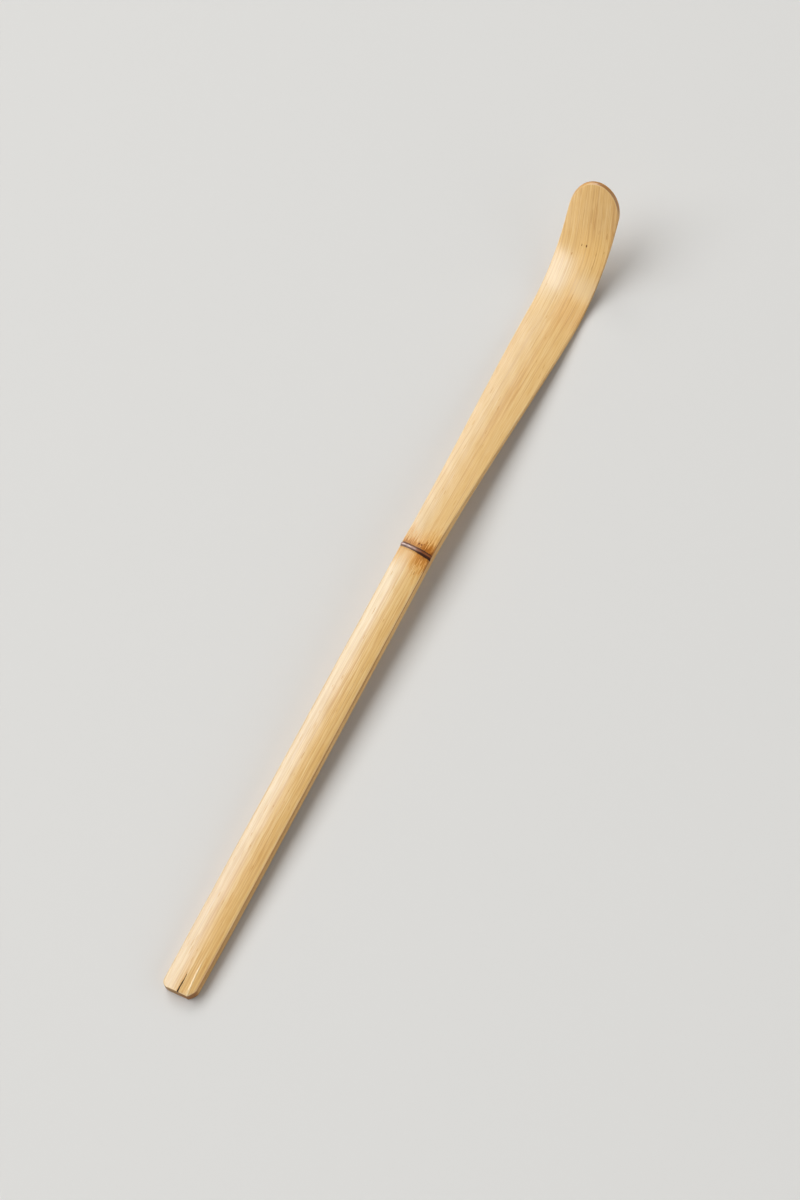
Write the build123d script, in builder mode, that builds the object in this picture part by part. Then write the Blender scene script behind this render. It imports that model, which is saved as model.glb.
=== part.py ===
from build123d import *
import os
from math import acos, atan2, cos, degrees, hypot, radians, sin

# Bamboo tea scoop, pared from one split strip of culm and bent at the tip.
# +X runs from the cut end to the tip, +Y to the left, +Z up. Millimetres and degrees.
# The origin is on the surface the scoop rests on, under the middle of its length.
# The crown line is the middle of the upper face, and every thickness is measured down from it.

# Lengths along the crown line
handle_length = 92.7
scar_length = 0.95
stem_length = 55.9
tip_length = 9.8
tip_round_length = 6.2

# Widths
handle_width = 6.2
head_width = 10.15
scar_overhang = 0.12

# Thicknesses
end_thickness = 2.8
node_thickness = 3.2
bend_thickness = 1.8
tip_thickness = 1.2
rind_thickness = 0.4

# Roundness of the upper face, across the strip
handle_crown_radius = 12.0
blade_crown_radius = 24.0

# Bends, seen from the side
node_bend_radius = 46.0
stem_tilt = 4.5
bend_radius = 16.5
bend_angle = 66.0

# Poles of the stem's curves at a third and at two thirds of its length, as shares of the whole change
early_widening = 0.18
late_widening = 0.85
early_thinning = 1.1
late_thinning = 0.96

# Cut end: the heel it rests on, its slant, its two corners and its drying split
heel_length = 12.0
end_slant = 6.0
corner_round = 1.25
corner_clip = 1.1
split_length = 3.7
split_width = 0.35
split_depth = 1.0
split_offset = -0.18

# Node: how far the scar and the swelling stand out, and the stub of the cross-wall below
scar_height = 0.28
scar_round = 0.3
ridge_height = 0.12
ridge_bevel = 0.1
septum_length = 2.0
septum_depth = 0.6
septum_height = 0.25
septum_inset = 0.7

# Spare width of each strip before it is trimmed to its outline
trim_allowance = 1.0


def along(angle, length):
    """Step of a length in the side view, at an angle above +X."""
    return Vector(length * cos(radians(angle)), 0, length * sin(radians(angle)))


# The bend's underside touches the rest surface, which sets the heights of the bend and of the node
tip_tilt = bend_angle - stem_tilt
bend_height = bend_radius + bend_thickness
node_height = (
    bend_height
    - (bend_radius + node_bend_radius) * cos(radians(stem_tilt))
    + stem_length * sin(radians(stem_tilt))
)

# The handle leans just enough to bring its cut end down to its own thickness
lean_cosine = (end_thickness - node_height) / hypot(node_bend_radius, handle_length)
handle_tilt = degrees(acos(lean_cosine) - atan2(handle_length, node_bend_radius))

# The middle of the whole length is over the origin, and the crown line runs back from the bend
back_reach = (
    (bend_radius + node_bend_radius) * sin(radians(stem_tilt))
    + stem_length * cos(radians(stem_tilt))
    + node_bend_radius * sin(radians(handle_tilt))
    + handle_length * cos(radians(handle_tilt))
)
front_reach = (
    (bend_radius + tip_thickness) * sin(radians(tip_tilt))
    + tip_length * cos(radians(tip_tilt))
)
bend_centre = Vector((back_reach - front_reach) / 2, 0, bend_height)
bend_start = bend_centre + along(-90 - stem_tilt, bend_radius)
bend_end = bend_centre + along(-90 + tip_tilt, bend_radius)
node_top = bend_start - along(-stem_tilt, stem_length)
node_centre = node_top - along(90 - stem_tilt, node_bend_radius)
node_foot = node_centre + along(90 + handle_tilt, node_bend_radius)
cut_end = node_foot - along(handle_tilt, handle_length)

bend_axis = Axis(bend_centre, (0, -1, 0))
node_axis = Axis(node_centre, (0, 1, 0))
node_turn = handle_tilt + stem_tilt
scar_turn = degrees(scar_length / node_bend_radius)
septum_turn = degrees(septum_length / node_bend_radius)


def section_plane(point, tilt):
    """Plane square to the crown line: its x is the scoop's left, its y is up."""
    return Plane(origin=point, x_dir=(0, 1, 0), z_dir=along(tilt, 1))


def plan_plane(point, tilt):
    """Plane along the crown line: its x runs towards the tip, its y is the scoop's left."""
    return Plane(origin=point, x_dir=along(tilt, 1), z_dir=along(90 + tilt, 1))


def node_plane(turn):
    """Section plane inside the node, turned on from the handle's end."""
    tilt = handle_tilt - turn
    return section_plane(node_centre + along(90 + tilt, node_bend_radius), tilt)


def wall_section(plane, crown_radius, width, depth):
    """Culm wall under the rind: crowned on top, flat below."""
    with BuildSketch(plane) as section:
        with Locations((0, -crown_radius)):
            Circle(crown_radius - rind_thickness)
        Rectangle(width, depth, align=(Align.CENTER, Align.MAX), mode=Mode.INTERSECT)
    return section.sketch


def rind_section(plane, crown_radius, width, height=0):
    """Rind over the wall, standing a height above the crown line."""
    with BuildSketch(plane) as section:
        with Locations((0, -crown_radius)):
            Circle(crown_radius + height)
            Circle(crown_radius - rind_thickness, mode=Mode.SUBTRACT)
        with Locations((0, height)):
            Rectangle(width, crown_radius, align=(Align.CENTER, Align.MAX), mode=Mode.INTERSECT)
    return section.sketch


def septum_section(plane):
    """Stub of the cross-wall, let into the underside of the node."""
    width = handle_width - 2 * septum_inset
    with BuildSketch(plane) as section:
        with Locations((0, -node_thickness - septum_height)):
            Rectangle(width, septum_height + septum_depth, align=(Align.CENTER, Align.MIN))
    return section.sketch


def paring_plane(point, end_point):
    """Plane of a flat paring cut along the underside, facing up."""
    run = end_point - point
    return Plane(origin=point, x_dir=run, z_dir=run.cross(Vector(0, 1, 0)))


handle_section = section_plane(cut_end, handle_tilt)
stem_section = section_plane(node_top, -stem_tilt)
bend_section = section_plane(bend_start, -stem_tilt)
tip_section = section_plane(bend_end, tip_tilt)
handle_plan = plan_plane(cut_end, handle_tilt)
stem_plan = plan_plane(node_top, -stem_tilt)
stem_side = Plane(origin=node_top, x_dir=along(-stem_tilt, 1), z_dir=(0, -1, 0))
tip_plan = plan_plane(bend_end, tip_tilt)

# Undersides: the handle rises from its heel to the node, and the tip thins towards its end
heel_end = Vector(cut_end.X + heel_length, 0, 0)
node_foot_below = node_foot - along(90 + handle_tilt, node_thickness)
bend_end_below = bend_end - along(90 + tip_tilt, bend_thickness)
tip_end_below = bend_end + along(tip_tilt, tip_length) - along(90 + tip_tilt, tip_thickness)
end_cut = section_plane(cut_end, handle_tilt + end_slant)
handle_paring = paring_plane(heel_end, node_foot_below)
tip_paring = paring_plane(bend_end_below, tip_end_below)

# Outlines seen square to the upper face, shared by the rind and the wall below it
with BuildSketch(handle_plan) as handle_outline:
    with Locations((handle_length / 2, 0)):
        Rectangle(handle_length, handle_width)
    end_corners = handle_outline.vertices(Select.ALL).group_by(Axis.X)[0].sort_by(Axis.Y)
    chamfer(end_corners[0], corner_clip)
    fillet(end_corners[-1], corner_round)

with BuildSketch(handle_plan) as split_outline:
    with BuildLine():
        Polyline(
            (0, split_offset - split_width / 2),
            (split_length, split_offset),
            (0, split_offset + split_width / 2),
            close=True,
        )
    make_face()

widening = (head_width - handle_width) / 2
with BuildSketch(stem_plan) as stem_outline:
    with BuildLine():
        left_side = Bezier(
            (0, handle_width / 2),
            (stem_length / 3, handle_width / 2 + early_widening * widening),
            (stem_length * 2 / 3, handle_width / 2 + late_widening * widening),
            (stem_length, head_width / 2),
        )
        right_side = mirror(left_side, about=Plane.XZ)
        Line(left_side @ 0, right_side @ 0)
        Line(left_side @ 1, right_side @ 1)
    make_face()

# Side of the stem: pared quickly behind the node, then slowly to the bend
thinning = node_thickness - bend_thickness
with BuildSketch(stem_side) as stem_profile:
    with BuildLine():
        stem_underside = Bezier(
            (0, -node_thickness),
            (stem_length / 3, early_thinning * thinning - node_thickness),
            (stem_length * 2 / 3, late_thinning * thinning - node_thickness),
            (stem_length, -bend_thickness),
        )
        Polyline(
            stem_underside @ 1,
            (stem_length, trim_allowance),
            (0, trim_allowance),
            stem_underside @ 0,
        )
    make_face()

with BuildSketch(tip_plan) as tip_outline:
    straight_length = tip_length - tip_round_length
    with Locations((straight_length / 2, 0)):
        Rectangle(straight_length, head_width)
    with Locations((straight_length, 0)):
        Ellipse(tip_round_length, head_width / 2)

# Handle: wall from the cut end to the node, flat at the heel and rising from there
with BuildPart() as handle:
    extrude(
        wall_section(
            handle_section, handle_crown_radius, handle_width + trim_allowance, 2 * node_thickness
        ),
        amount=handle_length,
    )
    extrude(handle_outline.sketch, amount=2 * node_thickness, both=True, mode=Mode.INTERSECT)
    extrude(split_outline.sketch, amount=-split_depth, mode=Mode.SUBTRACT)
    split(bisect_by=Plane.XY, keep=Keep.TOP)
    split(bisect_by=handle_paring, keep=Keep.TOP)
    split(bisect_by=end_cut, keep=Keep.TOP)

# Lower rind: skin of the handle, with the drying split open at the cut end
with BuildPart() as lower_rind:
    extrude(
        rind_section(handle_section, handle_crown_radius, handle_width + trim_allowance),
        amount=handle_length,
    )
    extrude(handle_outline.sketch, amount=2 * node_thickness, both=True, mode=Mode.INTERSECT)
    extrude(split_outline.sketch, amount=-split_depth, mode=Mode.SUBTRACT)
    split(bisect_by=end_cut, keep=Keep.TOP)

# Septum stub: what is left of the cross-wall after paring, across the middle of the node's underside
with BuildPart() as septum_stub:
    revolve(septum_section(node_plane((node_turn - septum_turn) / 2)), node_axis, septum_turn)

# Node core: wall at the node, bent over it, with a seat for the septum stub
with BuildPart() as node_core:
    revolve(
        wall_section(node_plane(0), blade_crown_radius, handle_width, node_thickness),
        node_axis,
        node_turn,
    )
    add(septum_stub.part, mode=Mode.SUBTRACT)

# Sheath scar: raised bead across the upper face, a little wider than the strip
with BuildPart() as sheath_scar:
    revolve(
        rind_section(
            node_plane(0), blade_crown_radius, handle_width + 2 * scar_overhang, scar_height
        ),
        node_axis,
        scar_turn,
    )
    bead_face = sheath_scar.faces().sort_by(Axis.Z)[-1]
    fillet(bead_face.edges().sort_by(SortBy.LENGTH)[-2:], scar_round)

# Node ridge: low swelling between the scar and the upper rind
with BuildPart() as node_ridge:
    revolve(
        rind_section(node_plane(scar_turn), blade_crown_radius, handle_width, ridge_height),
        node_axis,
        node_turn - scar_turn,
    )
    ridge_face = node_ridge.faces().sort_by(Axis.Z)[-1]
    chamfer(ridge_face.edges().sort_by(SortBy.LENGTH)[-2:], ridge_bevel)

# Upper stem: wall that widens and thins from the node to the bend
with BuildPart() as upper_stem:
    extrude(
        wall_section(
            stem_section, blade_crown_radius, head_width + trim_allowance, node_thickness
        ),
        amount=stem_length,
    )
    extrude(stem_outline.sketch, amount=2 * node_thickness, both=True, mode=Mode.INTERSECT)
    extrude(stem_profile.sketch, amount=head_width, both=True, mode=Mode.INTERSECT)

# Scoop head: wall of the rounded tip, thinned to its end, and of the bend below it
with BuildPart() as scoop_head:
    extrude(
        wall_section(tip_section, blade_crown_radius, head_width + trim_allowance, bend_thickness),
        amount=tip_length,
    )
    extrude(tip_outline.sketch, amount=2 * bend_thickness, both=True, mode=Mode.INTERSECT)
    split(bisect_by=tip_paring, keep=Keep.TOP)
    revolve(
        wall_section(bend_section, blade_crown_radius, head_width, bend_thickness),
        bend_axis,
        bend_angle,
    )

# Skin of the stem, trimmed to the same outline as its wall
with BuildPart() as stem_skin:
    extrude(
        rind_section(stem_section, blade_crown_radius, head_width + trim_allowance),
        amount=stem_length,
    )
    extrude(stem_outline.sketch, amount=2 * node_thickness, both=True, mode=Mode.INTERSECT)

# Upper rind: one skin over the tip, round the bend and down the stem
with BuildPart() as upper_rind:
    extrude(
        rind_section(tip_section, blade_crown_radius, head_width + trim_allowance),
        amount=tip_length,
    )
    extrude(tip_outline.sketch, amount=2 * bend_thickness, both=True, mode=Mode.INTERSECT)
    revolve(rind_section(bend_section, blade_crown_radius, head_width), bend_axis, bend_angle)
    add(stem_skin.part)

handle.part.label = "handle"
lower_rind.part.label = "lower_rind"
node_core.part.label = "node_core"
septum_stub.part.label = "septum_stub"
sheath_scar.part.label = "sheath_scar"
node_ridge.part.label = "node_ridge"
upper_stem.part.label = "upper_stem"
scoop_head.part.label = "scoop_head"
upper_rind.part.label = "upper_rind"

os.makedirs("parts", exist_ok=True)
export_step(handle.part, "parts/handle.step")
export_step(lower_rind.part, "parts/lower_rind.step")
export_step(node_core.part, "parts/node_core.step")
export_step(septum_stub.part, "parts/septum_stub.step")
export_step(sheath_scar.part, "parts/sheath_scar.step")
export_step(node_ridge.part, "parts/node_ridge.step")
export_step(upper_stem.part, "parts/upper_stem.step")
export_step(scoop_head.part, "parts/scoop_head.step")
export_step(upper_rind.part, "parts/upper_rind.step")

print("handle tilt", round(handle_tilt, 3), "tip tilt", round(tip_tilt, 3))
print("ridge length", round(radians(node_turn) * node_bend_radius - scar_length, 3))
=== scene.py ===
# %% [markdown]
# # A bamboo tea scoop, carved flat and bent
# The scoop is one split strip of bamboo. Its glossy upper face is the outside of the culm, a dark ring
# crosses it where a leaf sheath grew, and the broad end is bent up with steam. This lesson works as the
# carver does: it lays out a flat strip, pares it to shape, bends it along one line and finishes the surface.
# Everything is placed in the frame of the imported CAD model, so that frame is loaded first.

# %% Load the frame
import math

import bmesh
import bpy
import numpy as np
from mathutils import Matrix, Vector


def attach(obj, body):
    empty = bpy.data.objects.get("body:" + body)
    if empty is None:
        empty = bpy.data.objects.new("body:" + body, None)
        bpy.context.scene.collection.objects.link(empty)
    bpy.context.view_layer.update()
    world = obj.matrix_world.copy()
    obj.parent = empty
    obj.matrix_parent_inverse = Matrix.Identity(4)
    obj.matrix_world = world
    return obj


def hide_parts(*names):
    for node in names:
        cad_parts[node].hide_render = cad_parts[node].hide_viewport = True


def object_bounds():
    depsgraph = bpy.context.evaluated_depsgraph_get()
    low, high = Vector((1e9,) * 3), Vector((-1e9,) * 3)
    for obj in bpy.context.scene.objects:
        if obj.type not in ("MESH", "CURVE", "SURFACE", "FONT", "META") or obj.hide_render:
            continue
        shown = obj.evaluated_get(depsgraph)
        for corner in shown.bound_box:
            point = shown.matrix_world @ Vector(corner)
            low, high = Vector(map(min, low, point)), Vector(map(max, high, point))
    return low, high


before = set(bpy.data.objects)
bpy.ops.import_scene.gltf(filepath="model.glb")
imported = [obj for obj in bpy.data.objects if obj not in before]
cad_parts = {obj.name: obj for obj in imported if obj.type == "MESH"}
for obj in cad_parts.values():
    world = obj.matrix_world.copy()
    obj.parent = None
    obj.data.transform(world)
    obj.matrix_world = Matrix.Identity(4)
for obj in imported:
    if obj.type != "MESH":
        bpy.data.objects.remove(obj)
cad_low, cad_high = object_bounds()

MM = 0.001


def add_object(name, data):
    """A new object in the scene."""
    thing = bpy.data.objects.new(name, data)
    bpy.context.scene.collection.objects.link(thing)
    return thing


print("CAD box in mm:", [round(v / MM, 3) for v in (*cad_low, *cad_high)])

# %% [markdown]
# ## The carver's sizes
# The sizes are millimetres and degrees, and the same ones that drive the solids. Lengths run along the crown,
# the highest line of the upper face, because that line doesn't change its length when the strip is bent.

# %% Sizes of the strip
handle_length = 92.7
scar_length = 0.95
stem_length = 55.9
tip_length = 9.8
tip_round_length = 6.2
handle_width = 6.2
head_width = 10.15
scar_overhang = 0.05
early_widening = 0.18
late_widening = 0.85
early_thinning = 1.1
late_thinning = 0.96
end_thickness = 2.8
node_thickness = 3.2
bend_thickness = 1.8
tip_thickness = 1.2
rind_thickness = 0.4
handle_crown_radius = 12.0
blade_crown_radius = 24.0
node_bend_radius = 46.0
bend_radius = 16.5
stem_tilt = math.radians(4.5)
bend_angle = math.radians(66.0)
heel_length = 12.0
end_slant = math.radians(6.0)
corner_round = 1.25
corner_clip = 1.1

# %% [markdown]
# ## The crown line
# On the real scoop the crown rises gently from the cut end, turns down a little at the node, and sweeps up at
# the bend. Each of these is a straight run or an arc, so the tilt of the line is all that has to be known:
# it stays level along a run and changes evenly along an arc. Adding up small steps in that direction gives
# the line itself, which is shorter and safer than working out every arc's centre.

# %% Tilt and place of the crown line
bend_height = bend_radius + bend_thickness
node_height = bend_height - (bend_radius + node_bend_radius) * math.cos(stem_tilt)
node_height += stem_length * math.sin(stem_tilt)
handle_tilt = math.acos((end_thickness - node_height) / math.hypot(node_bend_radius, handle_length))
handle_tilt -= math.atan2(handle_length, node_bend_radius)

node_place = handle_length
scar_end = node_place + scar_length
stem_start = node_place + node_bend_radius * (handle_tilt + stem_tilt)
bend_start = stem_start + stem_length
bend_end = bend_start + bend_radius * bend_angle
strip_length = bend_end + tip_length
tip_round_start = strip_length - tip_round_length

crown_step = 0.25
crown_places = np.append(np.arange(0.0, strip_length, crown_step), strip_length)
crown_tilts = np.interp(
    crown_places,
    [node_place, stem_start, bend_start, bend_end],
    [handle_tilt, -stem_tilt, -stem_tilt, bend_angle - stem_tilt],
)
middle_tilts = (crown_tilts[1:] + crown_tilts[:-1]) / 2
crown_steps = np.diff(crown_places)
crown_x = cad_low.x / MM + np.concatenate([[0.0], np.cumsum(crown_steps * np.cos(middle_tilts))])
crown_z = end_thickness + np.concatenate([[0.0], np.cumsum(crown_steps * np.sin(middle_tilts))])
print("strip length", round(strip_length, 2), "mm, tip at", round(crown_x[-1], 2), round(crown_z[-1], 2))

# %% Draw the crown line as a curve
crown_curve = bpy.data.curves.new("crown_line", "CURVE")
crown_curve.dimensions = "3D"
crown_spline = crown_curve.splines.new("POLY")
crown_spline.points.add(len(crown_places) - 1)
for point, x, z in zip(crown_spline.points, crown_x, crown_z):
    point.co = (x * MM, 0.0, z * MM, 1.0)
crown_line = add_object("crown_line", crown_curve)
print("crown line of", len(crown_places), "points")

# %% [markdown]
# ## The outline of the flat strip
# Seen from above, the handle has straight sides, the stem widens slowly at first and then steadily, and the
# head ends in half an ellipse that leans a little to the left. At the cut end the strip is slightly narrower,
# one of its corners is rounded and the other is pared off. Two rules give the half widths at any place along
# the strip, and the distance from that outline says how far a point is from the nearest edge, which later
# rounds the arrises and tints them.

# %% Half widths and the distance from the edge
tip_lean = 0.3
end_narrowing = 0.08
narrowing_length = 25.0
clip_length = 1.7


def unit(value):
    return np.clip(value, 0.0, 1.0)


def tip_share(u):
    """How far along the rounded tip a place is, from 0 to 1."""
    return unit((u - tip_round_start) / tip_round_length)


def stem_share(u, early, late):
    """Share of a change along the stem, from 0 at the node to 1 at the bend, on a Bezier curve."""
    t = unit((u - stem_start) / stem_length)
    return 3 * (1 - t) ** 2 * t * early + 3 * (1 - t) * t**2 * late + t**3


def half_width(u):
    """Half the strip's width, u millimetres from the cut end."""
    half = handle_width / 2 + (head_width - handle_width) / 2 * stem_share(u, early_widening, late_widening)
    half = half - end_narrowing * unit(1 - u / narrowing_length)
    return half * np.sqrt(1 - tip_share(u) ** 2)


def left_half(u):
    inside = np.clip(corner_round - u, 0.0, corner_round)
    rounding = corner_round - np.sqrt(corner_round**2 - inside**2)
    return half_width(u) + tip_lean * tip_share(u) ** 2 - rounding


def right_half(u):
    clip = corner_clip * unit(1 - u / clip_length) ** 1.5
    return half_width(u) - tip_lean * tip_share(u) ** 2 - clip


def tip_places(count):
    """Places along the rounded tip that divide its outline evenly."""
    return tip_round_start + tip_round_length * np.sin(np.linspace(0.0, math.pi / 2, count))


outline_places = np.concatenate([np.linspace(0, 2, 60), np.arange(2.5, tip_round_start, 0.5), tip_places(90)])
outline = np.concatenate([
    np.column_stack([outline_places, left_half(outline_places)]),
    np.column_stack([outline_places, -right_half(outline_places)])[::-1],
])
outline_run = np.roll(outline, -1, axis=0) - outline
outline_square = np.maximum((outline_run**2).sum(1), 1e-12)


def edge_distance(u, y):
    """Distance of each point of the flat strip from its outline."""
    nearest = []
    for row in np.stack([u, y], axis=-1):
        offset = row[:, None, :] - outline[None]
        share = unit((offset * outline_run).sum(-1) / outline_square)
        gap = offset - share[..., None] * outline_run
        nearest.append(np.sqrt((gap**2).sum(-1).min(1)))
    return np.array(nearest)


print("half widths", [round(float(half_width(u)), 2) for u in (10, node_place, 130, bend_end)])

# %% [markdown]
# ## The heights of the flat strip
# The upper face is the outside of a round culm, so across the strip it is an arc: of small radius on the
# handle and flatter on the blade. The rind lies on the wall along a second arc just below, and the underside
# is flat, pared thinner towards the tip. All three are heights above or below the crown line. Arrises are
# rounded in the heights themselves, so every edge that catches the light is real geometry.

# %% Heights of the upper face, the rind's seat and the underside
under_radius = 0.24
arris = 0.22
right_arris = 0.14
right_arris_end = 108.0
rim_arris = 0.3
crown_change = (node_place - 7.0, node_place + 9.0)
handle_rise = end_thickness / math.cos(handle_tilt)
heel_rise = (end_thickness + heel_length * math.tan(handle_tilt)) / math.cos(handle_tilt)


def ease(share):
    """An even change from 0 to 1 that starts and ends gently."""
    share = unit(share)
    return share * share * (3 - 2 * share)


def crown_radius(u):
    change = ease((u - crown_change[0]) / (crown_change[1] - crown_change[0]))
    return handle_crown_radius + (blade_crown_radius - handle_crown_radius) * change


def quarter_round(edge, radius):
    """How far a rounded edge falls below the face, by the distance from the edge."""
    inside = np.maximum(radius - np.maximum(edge, 0.0), 0.0)
    return radius - np.sqrt(radius**2 - inside**2)


def arris_radius(u, y):
    """The handle's right arris and the rim of the tip are pared rounder than the other arrises."""
    on_handle = right_arris * ease((0.6 - y) / 2.0) * ease((right_arris_end - u) / 14.0)
    return arris + np.maximum(on_handle, rim_arris * tip_share(u) ** 0.6)


def crown_height(u, y):
    radius = crown_radius(u)
    return np.sqrt(radius**2 - y**2) - radius


def seat_height(u, y):
    radius = crown_radius(u)
    return np.sqrt((radius - rind_thickness) ** 2 - y**2) - radius


def strip_depth(u):
    """Thickness of the strip below the crown line."""
    places = [0.0, heel_length, node_place, bend_end, strip_length]
    tip_depth = node_thickness + tip_thickness - bend_thickness
    depths = [handle_rise, heel_rise, node_thickness, node_thickness, tip_depth]
    thinning = (node_thickness - bend_thickness) * stem_share(u, early_thinning, late_thinning)
    return np.interp(u, places, depths) - thinning


def under_height(u, y, edge):
    """The pared underside: long shallow knife facets, and a bevel along its edges."""
    facets = 0.03 * np.abs(np.sin(0.23 * u + 0.3 * y + 0.8 * np.sin(0.05 * u)))
    facets = facets + 0.025 * np.abs(np.sin(1.15 * y + 0.5 * np.sin(0.11 * u)))
    bevel = 0.12 * unit(1 - edge / 0.7)
    return -strip_depth(u) + quarter_round(edge, under_radius) + facets + bevel


print("depths", [round(float(strip_depth(u)), 2) for u in (0, heel_length, node_place, strip_length)])

# %% [markdown]
# ## Marks in the rind
# The drying split at the cut end is a narrow slot along the fibres. Beside it the rind has sunk into a shallow
# channel, bordered by raised fibres that catch the light. The surface is a little uneven because it was
# pared by hand. At the node the rind swells towards the scar and drops into a crevice on both sides of it.

# %% Heights of the marks
split_place = -0.18
split_length = 3.9
split_width = 0.25
flute_places = [0.0, 3.0, 6.0, 10.0]
flute_sides = [-1.89, -1.65, -1.53, -1.46]
flute_height = 0.08
flute_width = 0.2
ripple_places = [2.4, 3.6, 7.0, 12.0]
ripple_sides = [-0.42, -0.34, -0.3, -0.34]
crevice_depth = 0.09
crevice_width = 0.12
scar_margin = 0.22
node_bow = 0.1
node_skew = 0.095
node_drop = -0.22
node_bow_reach = 2.4


def bell(value):
    return np.exp(-(value**2))


def split_half(u):
    """Half the open width of the drying split."""
    taper = unit(1 - u / split_length) ** 0.7
    return split_width / 2 * taper * (1 + 0.12 * np.sin(u * 4.1 + 0.4))


def split_line(u):
    return split_place + 0.03 * np.sin(u * 1.9) + 0.012 * np.sin(u * 7.3)


def flute(u, y):
    """The raised fibres beside the split, 1 along their middle."""
    off = np.abs(y - np.interp(u, flute_places, flute_sides)) / flute_width
    first = unit(1 - off) * ease((9.0 - u) / 5.0)
    off = np.abs(y - np.interp(u, ripple_places, ripple_sides)) / (0.7 * flute_width)
    return first + 0.6 * unit(1 - off) * ease((u - 2.4) / 2.0) * ease((12.0 - u) / 5.0)


def split_slot(u, y):
    """The open split, 1 where the rind is parted."""
    return unit((split_half(u) - np.abs(y - split_line(u))) / 0.03)


def rind_marks(u, y):
    """Heights that the carver's and the plant's marks add to the rind."""
    height = 0.012 * np.sin(u * 0.43 + 0.7 * y) + 0.009 * np.sin(u * 0.91 - 1.1 * y + 1.3)
    height -= 0.06 * bell((y + 0.95) / 0.55) * ease(1 - u / 8.0)
    height += flute_height * flute(u, y) ** 2
    for off, swelling, reach in ((node_place - u, 0.04, 1.6), (u - scar_end, 0.1, 2.2)):
        height += (swelling * bell(off / reach) - crevice_depth * bell(off / crevice_width)) * (off >= 0)
    return height


def rind_height(u, y, edge):
    height = crown_height(u, y) - quarter_round(edge, arris_radius(u, y)) + rind_marks(u, y)
    slot = split_slot(u, y)
    floor = seat_height(u, y) + 0.02
    return np.where(slot > 0, height + (np.minimum(height, floor) - height) * slot, height)


def scar_height(u, y, edge):
    """The ring: a low bead, uneven like a healed rim, above a narrow margin of plain rind."""
    across = (u - (node_place + scar_margin + scar_end) / 2) / ((scar_length - scar_margin) / 2)
    bead = unit(1 - np.abs(across / 0.82) ** 3.2) ** 0.7
    uneven = 1 + 0.06 * np.sin(y * 2.1 + 0.5) + 0.04 * np.sin(y * 5.3 + 1.9)
    return crown_height(u, y) - crevice_depth + 0.27 * bead * uneven - quarter_round(edge, 0.3)


print("marks of the rind defined")

# %% [markdown]
# ## Paring one flat piece
# Every piece is the space between an upper and a lower height over the same part of the outline, so one
# function can pare them all: a grid of rows along the strip and columns across it, closed at the sides and
# ends. The columns crowd together at the edges to draw the roundings. Each point also keeps its distance from
# the edge, a mask that says where the fibres may show, and a mark for the raised fibre and the split. They are
# attributes, because attributes stay with the points when the strip is bent.

# %% Function that pares a flat piece
edge_steps = np.array([0.0, 0.012, 0.04, 0.08, 0.13, 0.19, 0.27, 0.38])


def rows_between(start, end, step):
    count = max(2, int(round((end - start) / step)) + 1)
    return np.linspace(start, end, count)


def grid_over(rows, inner_columns, overhang=0.0, extra=()):
    """Places u and y of a grid that fills the outline between the first row and the last."""
    left, right = left_half(rows) + overhang, right_half(rows) + overhang
    squeeze = np.minimum(1.0, (left + right) / (3.2 * edge_steps[-1]))
    margin = edge_steps[None] * squeeze[:, None]
    low, high = -right[:, None] + margin, left[:, None] - margin[:, ::-1]
    share = np.linspace(0.0, 1.0, inner_columns + 2)[1:-1][None]
    inner = low[:, -1:] + (high[:, :1] - low[:, -1:]) * share
    if len(extra):
        inner = np.sort(np.concatenate([inner, np.column_stack(extra)], axis=1), axis=1)
    y = np.concatenate([low, inner, high], axis=1)
    return np.repeat(rows[:, None], y.shape[1], axis=1), y


def flat_piece(name, u, y, upper, lower, edge, on_top=False):
    """A closed flat solid between two heights, with its skin on top or below, as a mesh object in metres."""
    top = 1.0 if on_top else 0.0
    rows, columns = u.shape
    inland = ease(edge / 0.4)
    slant = np.tan(end_slant) * unit(1 - u / 6.0) ** 2
    bow = node_bow * (1 - (y / (handle_width / 2)) ** 2) + node_skew * y + node_drop
    shift = top * bow * bell((u - node_place) / node_bow_reach)
    places = [np.stack([u - slant * h + shift, y, h], axis=-1).reshape(-1, 3) for h in (upper, lower)]
    above = np.arange(rows * columns).reshape(rows, columns)
    below = above + rows * columns
    quads = [
        np.stack([above[:-1, :-1], above[1:, :-1], above[1:, 1:], above[:-1, 1:]], -1),
        np.stack([below[:-1, :-1], below[:-1, 1:], below[1:, 1:], below[1:, :-1]], -1),
        np.stack([above[:-1, 0], below[:-1, 0], below[1:, 0], above[1:, 0]], -1),
        np.stack([above[:-1, -1], above[1:, -1], below[1:, -1], below[:-1, -1]], -1),
        np.stack([above[0, :-1], above[0, 1:], below[0, 1:], below[0, :-1]], -1),
        np.stack([above[-1, :-1], below[-1, :-1], below[-1, 1:], above[-1, 1:]], -1),
    ]
    faces = np.concatenate([q.reshape(-1, 4) for q in quads])
    mesh = bpy.data.meshes.new(name + "_flat")
    mesh.from_pydata((np.concatenate(places) * MM).tolist(), [], faces.tolist())
    nothing = np.zeros(edge.shape)
    marks = top * (flute(u, y) - split_slot(u, y))
    kept = {"edge": (edge, nothing), "skin": (inland * top, inland * (top - 1.0)), "mark": (marks, nothing)}
    for label, values in kept.items():
        mesh.attributes.new(label, "FLOAT", "POINT").data.foreach_set("value", np.ravel(values))
    build = bmesh.new()
    build.from_mesh(mesh)
    bmesh.ops.remove_doubles(build, verts=build.verts, dist=1e-4 * MM)
    bmesh.ops.dissolve_degenerate(build, edges=build.edges, dist=1e-5 * MM)
    build.to_mesh(mesh)
    build.free()
    return add_object(name + "_flat", mesh)


print("flat pieces can be pared")

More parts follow.
